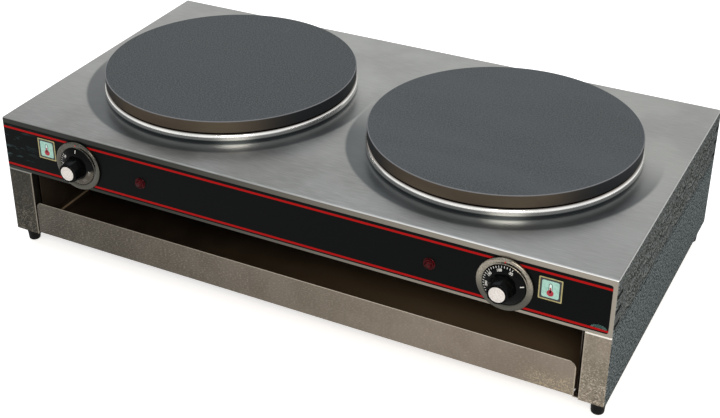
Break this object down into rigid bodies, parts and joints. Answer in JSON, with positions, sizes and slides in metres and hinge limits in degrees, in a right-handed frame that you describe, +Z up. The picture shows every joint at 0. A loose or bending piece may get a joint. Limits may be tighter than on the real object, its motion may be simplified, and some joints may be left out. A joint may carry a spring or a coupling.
{
  "type": "crepe maker",
  "caption": "Electric crepe maker with round cast-iron griddle plates on a louvred stainless box, turning temperature knobs and a slide-out tray below.",
  "frame": {"origin": "centre of the floor rectangle under the machine, on the surface that the feet stand on", "axes": "+X to the right as seen from the knobs, +Y to the back, +Z up"},
  "size_m": [0.861, 0.512, 0.23],
  "materials": {
    "stainless_sheet": "brushed stainless sheet, satin",
    "frame_sheet": "stainless sheet, lightly mottled, satin",
    "tray_sheet": "stainless sheet, satin",
    "galvanised_sheet": "hot-dip galvanised sheet, spangled",
    "cast_iron_plate": "machined and seasoned cast iron, satin",
    "polished_ring": "rolled and polished stainless",
    "printed_film": "back-printed polycarbonate film, semi-gloss",
    "bezel_metal": "turned and satin anodised aluminium",
    "phenolic_black": "black phenolic moulding, gloss",
    "cap_white": "white moulded disc, semi-gloss",
    "lens_red": "transparent red polycarbonate",
    "lamp_plastic": "white polyamide",
    "spindle_steel": "drawn and plated steel",
    "thermostat_case": "pressed and plated steel with a moulded base",
    "capillary_copper": "drawn copper, dull",
    "element_sheath": "heat-oxidised alloy sheath",
    "steel_plate": "cold-rolled steel plate, dull",
    "mineral_wool": "pressed mineral wool",
    "ceramic": "steatite ceramic, unglazed",
    "zinc_hardware": "zinc-plated steel",
    "sleeving": "woven glass-fibre sleeving",
    "gland_plastic": "black polyamide",
    "earth_brass": "turned brass",
    "foot_rubber": "moulded black rubber"
  },
  "bodies": {
    "casing": {"base_plate": "stainless_sheet", "cable_gland": "gland_plastic", "control_overlay": "printed_film", "earth_terminal": "earth_brass", "foot_nuts": "zinc_hardware", "foot_studs": "zinc_hardware", "frame_screws": "zinc_hardware", "front_left_foot": "foot_rubber", "front_right_foot": "foot_rubber", "front_support_rail": "galvanised_sheet", "gland_locknut": "gland_plastic", "griddle_nuts": "zinc_hardware", "griddle_studs": "zinc_hardware", "left_bezel": "bezel_metal", "left_clamp_plate": "steel_plate", "left_collar_ring": "polished_ring", "left_griddle_plate": "cast_iron_plate", "left_heat_shield": "galvanised_sheet", "left_heating_element": "element_sheath", "left_insulation": "mineral_wool", "left_lamp_body": "lamp_plastic", "left_lamp_lens": "lens_red", "left_sensor": "capillary_copper", "left_side_frame": "frame_sheet", "left_thermostat": "thermostat_case", "left_tray_runner": "galvanised_sheet", "left_wiring": "sleeving", "lower_rear_panel": "stainless_sheet", "rear_left_foot": "foot_rubber", "rear_panel": "stainless_sheet", "rear_right_foot": "foot_rubber", "rear_screws": "zinc_hardware", "rear_support_rail": "galvanised_sheet", "right_bezel": "bezel_metal", "right_clamp_plate": "steel_plate", "right_collar_ring": "polished_ring", "right_griddle_plate": "cast_iron_plate", "right_heat_shield": "galvanised_sheet", "right_heating_element": "element_sheath", "right_insulation": "mineral_wool", "right_lamp_body": "lamp_plastic", "right_lamp_lens": "lens_red", "right_sensor": "capillary_copper", "right_side_frame": "frame_sheet", "right_thermostat": "thermostat_case", "right_tray_runner": "galvanised_sheet", "right_wiring": "sleeving", "runner_screws": "zinc_hardware", "stud_sleeves": "zinc_hardware", "terminal_block": "ceramic", "terminal_insulators": "ceramic", "thermostat_screws": "zinc_hardware", "upper_housing": "stainless_sheet"},
    "left_knob_body": {"left_knob": "phenolic_black", "left_knob_cap": "cap_white", "left_spindle": "spindle_steel"},
    "right_knob_body": {"right_knob": "phenolic_black", "right_knob_cap": "cap_white", "right_spindle": "spindle_steel"},
    "tray_body": {"pull_out_tray": "tray_sheet"}
  },
  "joints": [
    {"name": "left_knob_turn", "type": "hinge", "parent": "casing", "child": "left_knob_body", "pos_m": [-0.3024, -0.24, 0.157], "axis": [0, 1, 0], "range_deg": [0, 255]},
    {"name": "right_knob_turn", "type": "hinge", "parent": "casing", "child": "right_knob_body", "pos_m": [0.2976, -0.24, 0.157], "axis": [0, 1, 0], "range_deg": [-78, 177]},
    {"name": "tray_slide", "type": "slide", "parent": "casing", "child": "tray_body", "axis": [0, -1, 0], "range_m": [0, 0.38]}
  ]
}
